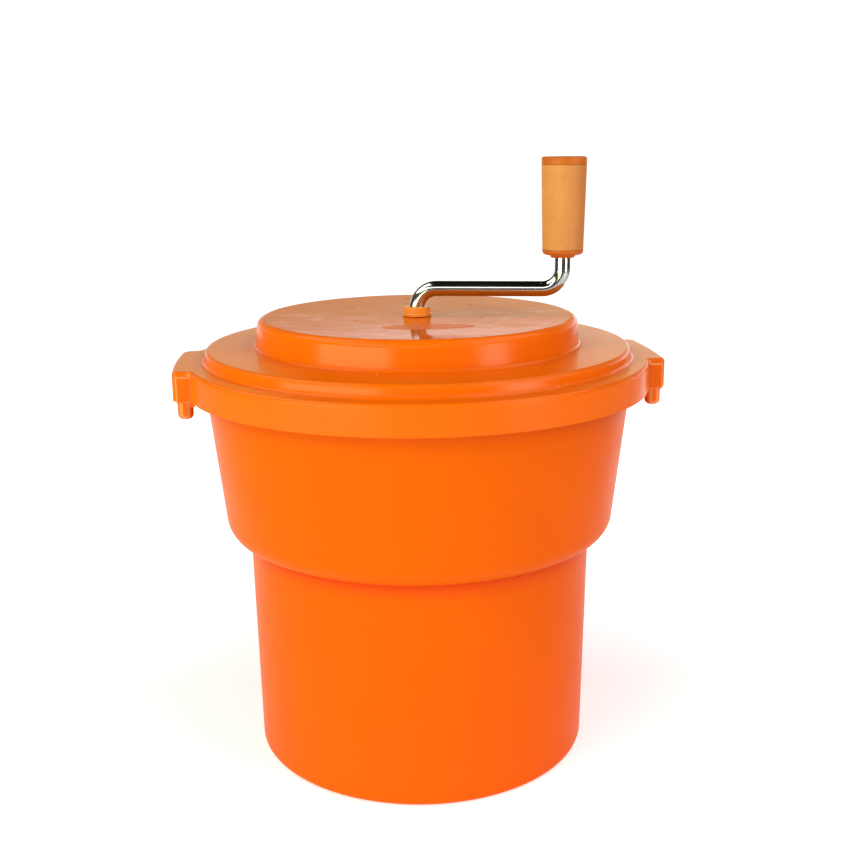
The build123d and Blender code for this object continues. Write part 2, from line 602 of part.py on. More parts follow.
with BuildPart() as idler_gear:
    with BuildSketch(Plane.XY.offset(STAGE_TWO_BOTTOM)):
        gear_face(WHEEL_TEETH, CENTRE_DISTANCE, 0)
    extrude(amount=GEAR_WIDTH)
    with BuildSketch(Plane.XY.offset(STAGE_TWO_BOTTOM + GEAR_WIDTH)):
        with Locations((0, CENTRE_DISTANCE)):
            Circle(12)
    extrude(amount=5)
    with BuildSketch(Plane.XY.offset(STAGE_TWO_BOTTOM)):
        with Locations((0, CENTRE_DISTANCE)):
            RegularPolygon(HEX_RADIUS + 0.05, 6)
    extrude(amount=20, mode=Mode.SUBTRACT)
idler_gear.part.label = "idler_gear"

with BuildPart() as idler_washers:
    for washer_bottom in (STAGE_TWO_BOTTOM - 1.1, STAGE_ONE_BOTTOM + GEAR_WIDTH + 0.7):
        with BuildSketch(Plane.XY.offset(washer_bottom)):
            with Locations((0, CENTRE_DISTANCE)):
                Circle(8)
                Circle(IDLER_SHAFT_RADIUS, mode=Mode.SUBTRACT)
        extrude(amount=0.9)
idler_washers.part.label = "idler_washers"

with BuildPart() as gear_cover:
    with BuildSketch(Plane.XY.offset(COVER_TOP - COVER_THICKNESS)):
        housing_outline(0)
    extrude(amount=COVER_THICKNESS)
    fillet(gear_cover.faces().sort_by(Axis.Z)[0].edges(), 1.2)
    with BuildSketch(Plane.XY.offset(OUTPUT_BUSH_BOTTOM)):
        Circle(16)
    extrude(amount=COVER_TOP - OUTPUT_BUSH_BOTTOM)
    with BuildSketch(Plane.XY.offset(COVER_TOP - 7)):
        with Locations((0, CENTRE_DISTANCE)):
            Circle(8)
    extrude(amount=8.6)
    with BuildSketch(Plane.XY.offset(OUTPUT_BUSH_BOTTOM)):
        Circle(OUTPUT_BUSH_RADIUS)
    extrude(amount=30, mode=Mode.SUBTRACT)
    with BuildSketch(Plane.XY.offset(COVER_TOP - 5)):
        with Locations((0, CENTRE_DISTANCE)):
            Circle(IDLER_SHAFT_RADIUS)
    extrude(amount=10, mode=Mode.SUBTRACT)
    with BuildSketch(Plane.XY.offset(COVER_TOP - COVER_THICKNESS - 1)):
        with Locations(*COVER_SCREWS):
            Circle(SCREW_SHANK_RADIUS + 0.3)
    extrude(amount=COVER_THICKNESS + 2, mode=Mode.SUBTRACT)
gear_cover.part.label = "gear_cover"

with BuildPart() as cover_screw:
    with BuildSketch(Plane.XY.offset(COVER_TOP - COVER_THICKNESS)):
        Circle(SCREW_SHANK_RADIUS)
    extrude(amount=SCREW_LENGTH)
    with BuildSketch(Plane.XY.offset(COVER_TOP - COVER_THICKNESS - 2.6)):
        Circle(4)
    extrude(amount=2.6)
    fillet(cover_screw.faces().sort_by(Axis.Z)[0].edges(), 1.2)
    with BuildSketch(Plane.XY.offset(COVER_TOP - COVER_THICKNESS - 3)):
        Rectangle(4.4, 0.9)
        Rectangle(0.9, 4.4)
    extrude(amount=1.8, mode=Mode.SUBTRACT)

with BuildPart() as cover_screws:
    with Locations(*COVER_SCREWS):
        add(cover_screw.part)
cover_screws.part.label = "cover_screws"

with BuildPart() as output_bush:
    with BuildSketch(Plane.XY.offset(OUTPUT_BUSH_BOTTOM)):
        Circle(OUTPUT_BUSH_RADIUS)
    extrude(amount=COVER_TOP - OUTPUT_BUSH_BOTTOM)
    with BuildSketch(Plane.XY.offset(COVER_TOP)):
        Circle(14)
    extrude(amount=1.6)
    with BuildSketch(Plane.XY.offset(OUTPUT_BUSH_BOTTOM)):
        Circle(OUTPUT_SHAFT_RADIUS + RUNNING_FIT)
    extrude(amount=30, mode=Mode.SUBTRACT)
output_bush.part.label = "output_bush"

with BuildPart() as output_pinion:
    with BuildSketch(Plane.XY.offset(STAGE_TWO_BOTTOM - 0.6)):
        gear_face(PINION_TEETH, 0, 15)
    extrude(amount=GEAR_WIDTH + 1)
    with BuildSketch(Plane.XY.offset(DRIVE_HUB_TOP)):
        Circle(OUTPUT_SHAFT_RADIUS)
    extrude(amount=STAGE_TWO_BOTTOM - 0.6 - DRIVE_HUB_TOP)
    with BuildSketch(Plane.XY.offset(DRIVE_HUB_BOTTOM)):
        RegularPolygon(OUTPUT_SHAFT_RADIUS - 0.2, 6)
    extrude(amount=DRIVE_HUB_TOP - DRIVE_HUB_BOTTOM)
    with BuildSketch(Plane.XY.offset(DRIVE_HUB_BOTTOM)):
        Circle(DRIVE_SCREW_RADIUS)
    extrude(amount=20, mode=Mode.SUBTRACT)
output_pinion.part.label = "output_pinion"

# ---------------------------------------------------------------- drive plate
with BuildPart() as drive_plate:
    with BuildSketch(Plane.XY.offset(DRIVE_PLATE_BOTTOM)):
        Circle(DRIVE_PLATE_RADIUS)
        with PolarLocations(108, 8, start_angle=22.5):
            Circle(20, mode=Mode.SUBTRACT)
        with PolarLocations(54, 8, start_angle=22.5):
            Circle(12, mode=Mode.SUBTRACT)
    extrude(amount=2.6)
    with BuildSketch(Plane.XY.offset(DRIVE_HUB_BOTTOM)):
        Circle(15)
    extrude(amount=DRIVE_HUB_TOP - 0.4 - DRIVE_HUB_BOTTOM)
    # rim and radial ribs on the upper side
    with BuildSketch(Plane.XY.offset(DRIVE_PLATE_BOTTOM)):
        Circle(DRIVE_PLATE_RADIUS)
        Circle(DRIVE_PLATE_RADIUS - 2.6, mode=Mode.SUBTRACT)
        with PolarLocations(DRIVE_PLATE_RADIUS / 2 + 6, 8):
            Rectangle(DRIVE_PLATE_RADIUS - 14, 2.6)
    extrude(amount=DRIVE_HUB_TOP - 0.4 - DRIVE_PLATE_BOTTOM)
    # dogs below the rim
    with BuildSketch(Plane.XY.offset(DOG_BOTTOM)):
        with PolarLocations((DOG_INNER + DOG_OUTER) / 2, DOG_COUNT, start_angle=45):
            Rectangle(DOG_OUTER - DOG_INNER, DOG_WIDTH)
    extrude(amount=DRIVE_PLATE_BOTTOM - DOG_BOTTOM)
    with BuildSketch(Plane.XY.offset(DRIVE_HUB_BOTTOM)):
        RegularPolygon(OUTPUT_SHAFT_RADIUS - 0.15, 6)
    extrude(amount=30, mode=Mode.SUBTRACT)
drive_plate.part.label = "drive_plate"

with BuildPart() as drive_washer:
    with BuildSketch(Plane.XY.offset(DRIVE_HUB_BOTTOM - 1.6)):
        Circle(11)
        Circle(DRIVE_SCREW_RADIUS, mode=Mode.SUBTRACT)
    extrude(amount=1.5)
drive_washer.part.label = "drive_washer"

with BuildPart() as drive_screw:
    with BuildSketch(Plane.XY.offset(DRIVE_HUB_BOTTOM - 1.6)):
        Circle(DRIVE_SCREW_RADIUS)
    extrude(amount=18)
    with BuildSketch(Plane.XY.offset(DRIVE_HUB_BOTTOM - 6.1)):
        RegularPolygon(5.8, 6)
    extrude(amount=4.5)
    chamfer(drive_screw.faces().sort_by(Axis.Z)[0].outer_wire().edges(), 0.7)
drive_screw.part.label = "drive_screw"

# ---------------------------------------------------------------- crank and grip
with BuildPart() as crank_rod:
    with BuildLine() as rod_path:
        FilletPolyline(
            (0, 0, ROD_BOTTOM), (0, 0, ARM_HEIGHT), (grip_x, grip_y, ARM_HEIGHT),
            (grip_x, grip_y, ROD_TOP), radius=ROD_BEND,
        )
    with BuildSketch(Plane.XY.offset(ROD_BOTTOM)):
        Circle(ROD_RADIUS)
    sweep()
    chamfer(crank_rod.edges().group_by(Axis.Z)[0], 1.0)
    chamfer(crank_rod.edges().group_by(Axis.Z)[-1], 1.0)
    with BuildSketch(Plane.XZ):
        with Locations((0, CRANK_PIN_HEIGHT)):
            Circle(CRANK_PIN_RADIUS)
    extrude(amount=10, both=True, mode=Mode.SUBTRACT)
    # groove of the grip's clip
    with BuildSketch(Plane.XY.offset(CLIP_BOTTOM)):
        with Locations((grip_x, grip_y)):
            Circle(ROD_RADIUS + 1)
            Circle(CLIP_INNER, mode=Mode.SUBTRACT)
    extrude(amount=CLIP_THICKNESS, mode=Mode.SUBTRACT)
crank_rod.part.label = "crank_rod"

with BuildPart() as crank_collar:
    collar_bottom = LID_TOP - LID_DISH + 0.3
    with BuildSketch(Plane.XZ) as collar_outside:
        with BuildLine():
            Polyline(
                (ROD_RADIUS, collar_bottom), (COLLAR_LIP, collar_bottom),
                (COLLAR_LIP, collar_bottom + 2.0), (COLLAR_RADIUS, collar_bottom + 2.8),
                (COLLAR_RADIUS, COLLAR_TOP), (ROD_RADIUS, COLLAR_TOP), (ROD_RADIUS, collar_bottom),
            )
        make_face()
        round_corner(collar_outside, COLLAR_LIP, collar_bottom, 0.7)
        round_corner(collar_outside, COLLAR_LIP, collar_bottom + 2.0, 0.7)
        round_corner(collar_outside, COLLAR_RADIUS, COLLAR_TOP, 1.0)
    revolve(axis=Axis.Z)
crank_collar.part.label = "crank_collar"

with BuildPart() as grip_core:
    with BuildSketch(grip_plane):
        with BuildLine():
            Polyline(
                (ROD_RADIUS + RUNNING_FIT, GRIP_BOTTOM + 1), (8.4, GRIP_BOTTOM + 1),
                (CORE_RADIUS, GRIP_BOTTOM + 4), (CORE_RADIUS, CORE_TOP),
                (ROD_RADIUS + RUNNING_FIT, CORE_TOP), (ROD_RADIUS + RUNNING_FIT, GRIP_BOTTOM + 1),
            )
        make_face()
    revolve(axis=grip_axis)
grip_core.part.label = "grip_core"

with BuildPart() as grip_sleeve:
    with BuildSketch(grip_plane):
        with BuildLine():
            Polyline(
                (CORE_RADIUS, SLEEVE_BOTTOM), (GRIP_BOTTOM_RADIUS, SLEEVE_BOTTOM),
                (GRIP_TOP_RADIUS, SLEEVE_TOP), (CORE_RADIUS, SLEEVE_TOP), (CORE_RADIUS, SLEEVE_BOTTOM),
            )
        sleeve_face = make_face()
        fillet(sleeve_face.vertices().sort_by(Axis.X)[-2:], 0.6)
    revolve(axis=grip_axis)
grip_sleeve.part.label = "grip_sleeve"

with BuildPart() as grip_top_cap:
    with BuildSketch(grip_plane):
        with BuildLine():
            Polyline(
                (0, SLEEVE_TOP - 1.5), (CORE_RADIUS - 0.1, SLEEVE_TOP - 1.5),
                (CORE_RADIUS - 0.1, SLEEVE_TOP + 0.1), (GRIP_TOP_RADIUS, SLEEVE_TOP + 0.1),
                (GRIP_TOP_RADIUS + 0.1, GRIP_TOP), (0, GRIP_TOP), (0, SLEEVE_TOP - 1.5),
            )
        cap_face = make_face()
        fillet(cap_face.vertices().group_by(Axis.Y)[-1].sort_by(Axis.X)[-1], 2.2)
    revolve(axis=grip_axis)
grip_top_cap.part.label = "grip_top_cap"

with BuildPart() as grip_bottom_cap:
    with BuildSketch(grip_plane):
        with BuildLine():
            Polyline(
                (8.5, GRIP_BOTTOM + 0.9), (9.8, GRIP_BOTTOM + 0.9), (11.5, GRIP_BOTTOM + 3.4),
                (GRIP_BOTTOM_RADIUS, GRIP_BOTTOM + 3.4), (GRIP_BOTTOM_RADIUS + 0.1, SLEEVE_BOTTOM - 0.1),
                (CORE_RADIUS, SLEEVE_BOTTOM - 0.1), (CORE_RADIUS, GRIP_BOTTOM + 4),
                (8.5, GRIP_BOTTOM + 0.9),
            )
        foot_face = make_face()
        fillet(foot_face.vertices().sort_by_distance((GRIP_BOTTOM_RADIUS, GRIP_BOTTOM + 3.4))[0], 3.0)
    revolve(axis=grip_axis)
grip_bottom_cap.part.label = "grip_bottom_cap"

with BuildPart() as grip_washer:
    with BuildSketch(Plane.XY.offset(CORE_TOP + 0.2)):
        with Locations((grip_x, grip_y)):
            Circle(9.4)
            Circle(ROD_RADIUS + 0.1, mode=Mode.SUBTRACT)
    extrude(amount=CLIP_BOTTOM - CORE_TOP - 0.3)
grip_washer.part.label = "grip_washer"

with BuildPart() as grip_clip:
    with BuildSketch(Plane.XY.offset(CLIP_BOTTOM)):
        with Locations((grip_x, grip_y)):
            Circle(9.2)
            Circle(CLIP_INNER, mode=Mode.SUBTRACT)
            with Locations((-8, 0)):
                Rectangle(8, 6, mode=Mode.SUBTRACT)
    extrude(amount=CLIP_THICKNESS)
grip_clip.part.label = "grip_clip"

# ---------------------------------------------------------------- one file for each piece
pieces = [
    tub, pivot_pin, pivot_washer, pivot_nut, pivot_bush, basket, lid, crank_bush, crank_gear,
    crank_pin, idler_shaft, idler_pinion, idler_gear, idler_washers, gear_cover, cover_screws,
    output_bush, output_pinion, drive_plate, drive_washer, drive_screw, crank_rod, crank_collar,
    grip_core, grip_sleeve, grip_top_cap, grip_bottom_cap, grip_washer, grip_clip,
]
os.makedirs("parts", exist_ok=True)
for piece in pieces:
    export_step(piece.part, f"parts/{piece.part.label}.step")
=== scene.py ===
"""Looks of the hand-cranked salad spinner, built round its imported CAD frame.

Metres, +Z up, the frame's own axes: the spin axis is Z, the lid's ears lie along X.
"""

import json
import math

import bpy
from mathutils import Matrix, Vector

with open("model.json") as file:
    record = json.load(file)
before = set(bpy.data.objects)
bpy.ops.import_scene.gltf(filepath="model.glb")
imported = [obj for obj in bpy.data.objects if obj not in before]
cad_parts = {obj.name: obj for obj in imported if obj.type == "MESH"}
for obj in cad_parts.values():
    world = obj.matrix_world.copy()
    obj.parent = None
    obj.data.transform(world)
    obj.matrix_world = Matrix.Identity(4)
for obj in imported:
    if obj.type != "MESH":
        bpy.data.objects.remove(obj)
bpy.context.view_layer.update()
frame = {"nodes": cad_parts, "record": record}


# ---------------------------------------------------------------- colours
def linear(red, green, blue):
    """A colour given as sRGB 0 to 255, as the linear values that shaders take."""
    values = []
    for channel in (red, green, blue):
        c = channel / 255
        values.append(c / 12.92 if c <= 0.04045 else ((c + 0.055) / 1.055) ** 2.4)
    return (*values, 1.0)


def scaled_colour(colour, factor):
    return tuple(min(1.0, channel * factor) for channel in colour[:3]) + (1.0,)


TUB_ORANGE = linear(214, 94, 2)
# painted shade colours of the tub: redder towards its right and its foot, and darker under the step
# and the lid
TUB_SHADE_TINT = linear(214, 82, 12)
TUB_SHADED = linear(206, 62, 22)
LID_ORANGE = linear(222, 100, 3)
# painted shade colour of the lid, redder towards its right
LID_SHADE_TINT = linear(216, 88, 10)
# painted highlight colour for the rounded edges of the ear blocks
LID_EDGE_HIGHLIGHT = linear(236, 160, 110)
LID_WORN = linear(226, 150, 96)
# painted sheen colour for the sides of the shelf and the ears
LID_SIDE_SHEEN = linear(236, 176, 96)
COLLAR_ORANGE = linear(228, 140, 52)
CAP_ORANGE = linear(182, 94, 24)
GRIP_TANS = linear(190, 130, 70), linear(196, 137, 77)
GRIP_WEAVE = linear(190, 120, 60)
GRIP_STIPPLE = linear(226, 164, 100)
GRIP_SPECK = linear(150, 84, 36)
# painted shade colour of the grip's right side
GRIP_SHADED_SIDE = linear(166, 94, 42)
ROD_STEELS = linear(204, 206, 204), linear(186, 189, 188)
TURNED_STEELS = linear(176, 176, 178), linear(206, 206, 206)
BEARING_GREYS = linear(38, 38, 40), linear(60, 60, 62)
RUBBER_BLACKS = linear(24, 24, 25), linear(42, 42, 43)
BASKET_WHITE = linear(238, 236, 228)
GEAR_WHITE = linear(240, 238, 230)
INNER_WHITE = linear(234, 232, 224)
FLOOR_WHITES = linear(232, 236, 248), linear(238, 242, 254)

# ---------------------------------------------------------------- places on the object, in metres
# each pair is the start and the end of a change; heights are along Z, sideways is X
LEFT_TO_RIGHT = (-0.10, 0.19)
RIM_TO_FOOT = (0.34, 0.0)
STEP_SHADE_GROWS = (0.176, 0.1965)
STEP_SHADE_ENDS = (0.2035, 0.1985)
LID_SHADE_GROWS = (0.306, 0.328)
DRUM_TOP_STARTS = (0.375, 0.38)
SHELF_ENDS = (0.370, 0.375)
SHELF_SIDES_START = (0.09, 0.15)
EAR_BLOCKS_OUTWARD = (0.1915, 0.1920)
EAR_BLOCKS_FORWARD = (-0.0526, -0.0522)
GRIP_SHADE_STARTS = (0.116, 0.140)
PANEL_CENTRE = (0.003, -0.064)
PANEL_HALF_AXES = (0.040, 0.016)

# ---------------------------------------------------------------- measures shared by the finishes
FALLING = (1.0, 0.0)
NOISE_MIDDLE = (0.3, 0.7)
FACING_UP = (0.97, 0.995)
PLASTIC_IOR = 1.5
GRIP_IOR = 1.45


class Tree:
    """A node tree, with short ways to add and join nodes."""

    def __init__(self, tree):
        self.tree = tree

    def add(self, kind, **settings):
        """A new node. Each setting is a property of the node, or else the value of its input."""
        node = self.tree.nodes.new(kind)
        for key, value in settings.items():
            if hasattr(node, key):
                setattr(node, key, value)
            else:
                node.inputs[key.replace("_", " ").title()].default_value = value
        return node

    def feed(self, value, socket):
        """Gives a socket a constant, or joins another node's output to it."""
        if isinstance(value, (int, float, tuple)):
            socket.default_value = value
        else:
            self.tree.links.new(value, socket)

    def split(self, vector):
        """The X, Y and Z of a vector."""
        node = self.add("ShaderNodeSeparateXYZ")
        self.feed(vector, node.inputs["Vector"])
        return node.outputs["X"], node.outputs["Y"], node.outputs["Z"]

    def maths(self, operation, first, second=0.0):
        node = self.add("ShaderNodeMath", operation=operation)
        self.feed(first, node.inputs[0])
        self.feed(second, node.inputs[1])
        return node.outputs[0]

    def plus(self, first, second):
        return self.maths("ADD", first, second)

    def times(self, first, second):
        return self.maths("MULTIPLY", first, second)

    def size(self, value):
        return self.maths("ABSOLUTE", value)

    def squares(self, first, second):
        """The sum of two squares."""
        return self.plus(self.times(first, first), self.times(second, second))

    def span(self, value, source, target=(0.0, 1.0)):
        """A value's way through one range, as its place in another, held at the ends."""
        node = self.add("ShaderNodeMapRange")
        for name, number in zip(("From Min", "From Max", "To Min", "To Max"), (*source, *target)):
            node.inputs[name].default_value = number
        self.feed(value, node.inputs["Value"])
        return node.outputs["Result"]

    def blend(self, kind, sockets, values):
        """A mix node of one kind: its amount, first and second value, and its output."""
        node = self.add("ShaderNodeMix", data_type=kind)
        *inputs, output = sockets
        for value, socket in zip(values, inputs):
            self.feed(value, node.inputs[socket])
        return node.outputs[output]

    def mix(self, amount, first, second):
        """Two colours mixed."""
        return self.blend("RGBA", (0, 6, 7, 2), (amount, first, second))

    def mix_numbers(self, amount, first, second):
        return self.blend("FLOAT", (0, 2, 3, 0), (amount, first, second))


class Finish(Tree):
    """The node tree of one material."""

    def __init__(self, name):
        self.material = bpy.data.materials.new(name)
        self.material.use_nodes = True
        super().__init__(self.material.node_tree)
        self.shader = self.tree.nodes["Principled BSDF"]
        coordinates = self.add("ShaderNodeTexCoord")
        self.place = coordinates.outputs["Object"]
        self.facing = coordinates.outputs["Normal"]

    def stretched(self, x, y, z):
        """The place, with its axes scaled."""
        mapping = self.add("ShaderNodeMapping")
        mapping.inputs["Scale"].default_value = (x, y, z)
        self.feed(self.place, mapping.inputs["Vector"])
        return mapping.outputs["Vector"]

    def noise(self, scale, detail=4.0, roughness=0.5, vector=None):
        node = self.add("ShaderNodeTexNoise", scale=scale, detail=detail, roughness=roughness)
        self.feed(vector or self.place, node.inputs["Vector"])
        return node.outputs["Fac"]

    def cells(self, scale):
        """How far each point lies from the middle of its cell."""
        node = self.add("ShaderNodeTexVoronoi", scale=scale)
        self.feed(self.place, node.inputs["Vector"])
        return node.outputs["Distance"]

    def bump(self, height, strength, distance, below=None):
        node = self.add("ShaderNodeBump", strength=strength, distance=distance)
        self.feed(height, node.inputs["Height"])
        if below is not None:
            self.feed(below, node.inputs["Normal"])
        return node.outputs["Normal"]

    def surface(self, colour, roughness, normal=None, **constants):
        self.feed(colour, self.shader.inputs["Base Color"])
        self.feed(roughness, self.shader.inputs["Roughness"])
        if normal is not None:
            self.feed(normal, self.shader.inputs["Normal"])
        for name, value in constants.items():
            self.shader.inputs[name.replace("_", " ")].default_value = value
        return self.material


# ---------------------------------------------------------------- orange plastics
class OrangePlastic(Finish):
    """Glossy moulded orange: slightly cloudy colour, an orange-peel skin, dust and fine scuffs."""

    def __init__(self, name, colour, roughness, peel, scuffs, shine):
        super().__init__(name)
        self.shine = shine
        cloud = self.span(self.noise(9.0, 3.0), NOISE_MIDDLE)
        self.tint = self.mix(cloud, scaled_colour(colour, 0.94), scaled_colour(colour, 1.04))
        scratches = self.noise(60.0, 6.0, 0.7, self.stretched(1.0, 14.0, 3.0))
        crossing = self.noise(60.0, 6.0, 0.7, self.stretched(13.0, 1.0, 3.0))
        rubbed = self.maths("MAXIMUM", self.span(scratches, (0.62, 0.72)),
                            self.span(crossing, (0.63, 0.74)))
        dull = self.span(self.noise(28.0), NOISE_MIDDLE, (roughness - 0.03, roughness + 0.04))
        self.rough = self.plus(dull, self.times(rubbed, scuffs))
        skin = self.bump(self.noise(420.0, 2.0), 0.10 * peel, 0.0006)
        self.relief = self.bump(self.noise(16.0, 2.0), 0.12 * peel, 0.004, skin)

    def tinge(self, amount, colour):
        """Moves the colour towards another one."""
        self.tint = self.mix(amount, self.tint, colour)

    def finish(self):
        return self.surface(self.tint, self.rough, self.relief, IOR=PLASTIC_IOR,
                            Specular_IOR_Level=self.shine)


def tub_plastic():
    """The tub, with painted shade: redder towards its foot and its right, and where the step and
    the lid shade it.
    """
    n = OrangePlastic("tub_orange", TUB_ORANGE, roughness=0.34, peel=1.0, scuffs=0.05, shine=0.03)
    across, _, height = n.split(n.place)
    # painted shade: the tub turns redder towards its foot and its right side
    low = n.span(height, RIM_TO_FOOT, (0.0, 0.55))
    right = n.span(across, LEFT_TO_RIGHT, (0.0, 0.45))
    n.tinge(n.plus(low, right), TUB_SHADE_TINT)
    # painted shade in the crease under the step and in the band just under the lid
    under_step = n.times(n.span(height, STEP_SHADE_GROWS), n.span(height, STEP_SHADE_ENDS))
    under_lid = n.span(height, LID_SHADE_GROWS, (0.0, 0.55))
    n.tinge(n.plus(n.maths("POWER", under_step, 2.2), n.maths("POWER", under_lid, 1.5)), TUB_SHADED)
    return n.finish()


def lid_wear(n, across, forward):
    """Ring scratches round the crank, smudges and streaks on the lid's top."""
    ring_place = n.add("ShaderNodeCombineXYZ")
    radius = n.maths("SQRT", n.squares(across, forward))
    n.feed(n.times(radius, 260.0), ring_place.inputs["X"])
    n.feed(n.times(n.maths("ARCTAN2", forward, across), 0.9), ring_place.inputs["Y"])
    rings = n.span(n.noise(1.0, 3.0, 0.6, ring_place.outputs["Vector"]), (0.60, 0.68))
    smudges = n.span(n.noise(24.0, 5.0, 0.6), (0.46, 0.72))
    streaks = n.span(n.noise(30.0, 5.0, 0.7, n.stretched(1.0, 5.0, 1.0)), (0.56, 0.70))
    return n.plus(n.times(rings, 0.16), n.plus(n.times(smudges, 0.10), n.times(streaks, 0.12)))


def from_panel(n, across, forward):
    """How far a point lies from the middle of the oval panel: 1 along its rim, squared."""
    shares = [
        n.maths("DIVIDE", n.maths("SUBTRACT", value, centre), half)
        for value, centre, half in zip((across, forward), PANEL_CENTRE, PANEL_HALF_AXES)
    ]
    return n.squares(*shares)


def lid_plastic():
    """The lid: a mirror-like top with ring scratches and smudges, softer gloss on its walls, and
    painted shade, highlights and sheen.
    """
    n = OrangePlastic("lid_orange", LID_ORANGE, roughness=0.22, peel=0.5, scuffs=0.10, shine=0.12)
    across, forward, height = n.split(n.place)
    _, facing_back, facing_up = n.split(n.facing)
    level = n.span(facing_up, FACING_UP)
    top = n.times(level, n.span(height, DRUM_TOP_STARTS))
    wear = lid_wear(n, across, forward)

    # a plain oval panel in front of the collar, matter than the top round it
    oval = from_panel(n, across, forward)
    polish = n.plus(n.times(wear, 0.7), 0.015)
    polish = n.plus(polish, n.times(n.span(oval, (0.92, 1.0), FALLING), 0.30))
    n.rough = n.mix_numbers(top, n.rough, polish)
    n.relief = n.bump(n.span(oval, (0.80, 1.0), FALLING), 0.5, 0.0006, n.relief)

    # painted shade: the lid turns redder towards its right side
    n.tinge(n.span(across, LEFT_TO_RIGHT, (0.0, 0.5)), LID_SHADE_TINT)
    # painted highlight on the rounded edges of the ear blocks' fronts, paler there
    facing_front = n.times(facing_back, -1.0)
    bevel = n.times(n.span(facing_front, (0.35, 0.60)), n.span(facing_front, (0.93, 0.98), FALLING))
    on_block = n.times(n.span(forward, EAR_BLOCKS_FORWARD, FALLING),
                       n.span(n.size(across), EAR_BLOCKS_OUTWARD))
    n.tinge(n.times(n.times(bevel, on_block), 0.5), LID_EDGE_HIGHLIGHT)
    n.tinge(n.times(top, n.times(wear, 1.2)), LID_WORN)
    # painted sheen: the sides of the shelf and the ears, paler than the drum
    below_drum = n.times(level, n.span(height, SHELF_ENDS, FALLING))
    off_middle = n.span(n.size(across), SHELF_SIDES_START, (0.0, 0.34))
    n.tinge(n.times(below_drum, off_middle), LID_SIDE_SHEEN)
    return n.finish()


# ---------------------------------------------------------------- the other finishes
def white_plastic(name, colour, roughness):
    n = Finish(name)
    cloud = n.span(n.noise(14.0, 5.0), (0.35, 0.75))
    tint = n.mix(cloud, colour, scaled_colour(colour, 0.86))
    rough = n.span(n.noise(60.0, 3.0), NOISE_MIDDLE, (roughness - 0.06, roughness + 0.08))
    return n.surface(tint, rough, n.bump(n.noise(700.0, 3.0), 0.18, 0.0004), IOR=PLASTIC_IOR)


def dark_plastic(name):
    n = Finish(name)
    tint = n.mix(n.noise(80.0), *BEARING_GREYS)
    rough = n.span(n.noise(90.0), NOISE_MIDDLE, (0.42, 0.58))
    return n.surface(tint, rough, n.bump(n.noise(900.0), 0.2, 0.0003))


def rubber_black():
    n = Finish("rubber_black")
    tint = n.mix(n.noise(90.0), *RUBBER_BLACKS)
    rough = n.span(n.noise(120.0), NOISE_MIDDLE, (0.6, 0.78))
    return n.surface(tint, rough, n.bump(n.noise(800.0), 0.3, 0.0003))


def polished_rod():
    """Polished steel with a fine grain along it and a few finger smudges."""
    n = Finish("polished_rod")
    fine = n.noise(900.0, 3.0, 0.6, n.stretched(1.0, 1.0, 0.08))
    smudge = n.noise(45.0, 5.0)
    rough = n.plus(n.span(smudge, (0.35, 0.75), (0.06, 0.16)),
                   n.span(fine, (0.4, 0.7), (0.0, 0.05)))
    return n.surface(n.mix(smudge, *ROD_STEELS), rough, n.bump(fine, 0.06, 0.0002), Metallic=1.0)


def turned_steel():
    """Steel with the fine rings of the lathe."""
    n = Finish("turned_steel")
    rings = n.noise(500.0, 3.0, 0.5, n.stretched(0.2, 0.2, 4.0))
    tint = n.mix(n.noise(70.0), *TURNED_STEELS)
    rough = n.span(rings, NOISE_MIDDLE, (0.22, 0.38))
    return n.surface(tint, rough, n.bump(rings, 0.15, 0.0002), Metallic=1.0)


def grip_tan():
    """Matt tan sleeve: an even fine stipple of short cross marks, soft stains and a few specks."""
    n = Finish("grip_tan")
    stipple = n.noise(900.0, 3.0, 0.6)
    weave = n.noise(420.0, 4.0, 0.6, n.stretched(0.8, 0.8, 1.8))
    tint = n.mix(n.span(n.noise(22.0, 3.0), (0.35, 0.7)), *GRIP_TANS)
    tint = n.mix(n.span(weave, (0.42, 0.64), (0.0, 0.30)), tint, GRIP_WEAVE)
    tint = n.mix(n.span(stipple, (0.45, 0.62), (0.0, 0.22)), tint, GRIP_STIPPLE)
    specks = n.times(n.span(n.cells(70.0), (0.03, 0.07), FALLING),
                     n.span(n.noise(19.0), (0.5, 0.58)))
    tint = n.mix(n.times(specks, 0.6), tint, GRIP_SPECK)
    # painted shade: the grip darker towards its right side
    across, _, _ = n.split(n.place)
    tint = n.mix(n.span(across, GRIP_SHADE_STARTS, (0.0, 0.75)), tint, GRIP_SHADED_SIDE)
    rough = n.span(weave, NOISE_MIDDLE, (0.55, 0.70))
    relief = n.bump(stipple, 0.30, 0.0003, n.bump(weave, 0.25, 0.0004))
    return n.surface(tint, rough, relief, IOR=GRIP_IOR, Specular_IOR_Level=0.3)


# one finish for each material slot of the frame
finishes = {
    "tub": tub_plastic(),
    "lid": lid_plastic(),
    "collar": OrangePlastic("collar_orange", COLLAR_ORANGE, roughness=0.24, peel=0.5, scuffs=0.05,
                            shine=0.24).finish(),
    "caps": OrangePlastic("caps_orange", CAP_ORANGE, roughness=0.40, peel=1.0, scuffs=0.05,
                          shine=0.20).finish(),
    "grip": grip_tan(),
    "rod": polished_rod(),
    "steel": turned_steel(),
    "rubber": rubber_black(),
    "bearing": dark_plastic("bearing_grey"),
    "core": dark_plastic("core_grey"),
    "basket": white_plastic("basket_white", BASKET_WHITE, roughness=0.34),
    "gears": white_plastic("gear_white", GEAR_WHITE, roughness=0.38),
    "inner_plastic": white_plastic("inner_white", INNER_WHITE, roughness=0.34),
}

# every CAD node keeps its shape and takes the finish of its slot
for subpart in frame["record"]["subparts"]:
    node = frame["nodes"][subpart["node"]]
    if not node.material_slots:
        node.data.materials.append(None)
    for slot in node.material_slots:
        slot.material = finishes[subpart["material_slot"]]

